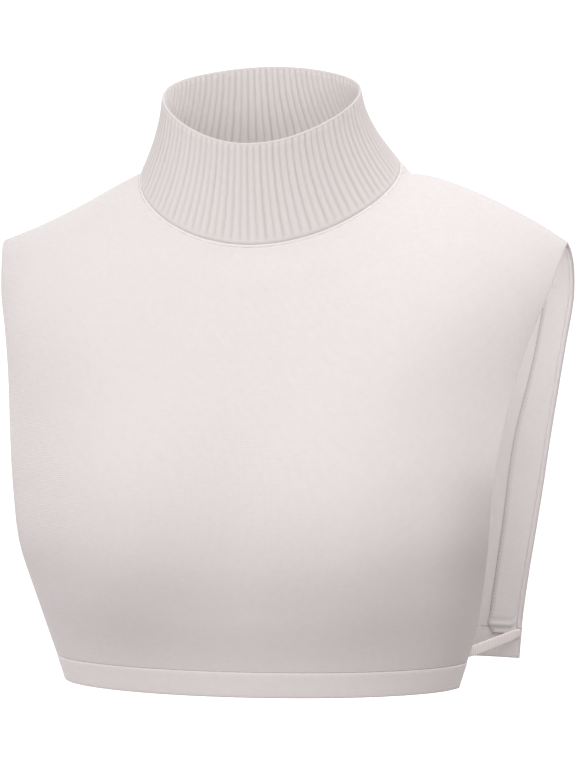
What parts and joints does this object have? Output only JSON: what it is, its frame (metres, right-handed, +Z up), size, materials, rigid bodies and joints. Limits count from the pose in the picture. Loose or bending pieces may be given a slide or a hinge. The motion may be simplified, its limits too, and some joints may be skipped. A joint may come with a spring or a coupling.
{
  "type": "turtleneck dickey",
  "caption": "Sleeveless half top with a ribbed funnel collar, open sides and elastic side straps, worn under a jumper.",
  "frame": {"origin": "middle of the neck seam, level with its two sides, where the wearer's neck passes through", "axes": "+Z up as worn, -Y towards the front (the chest), +X towards the wearer's left"},
  "size_m": [0.367, 0.2542, 0.3794],
  "materials": {
    "jersey": "fine smooth jersey, matt",
    "rib_knit": "ribbed knit, matt",
    "seam": "linked seam, matt",
    "hem": "double jersey, matt",
    "elastic": "knitted elastic tape, matt"
  },
  "bodies": {
    "root": {"collar": "rib_knit", "neck_seam": "seam", "front_panel": "jersey", "back_panel": "jersey", "front_hem": "hem", "back_hem": "hem", "front_facing_left": "jersey", "front_facing_right": "jersey", "back_facing_left": "jersey", "back_facing_right": "jersey", "side_strap_left": "elastic", "side_strap_right": "elastic"}
  },
  "joints": []
}
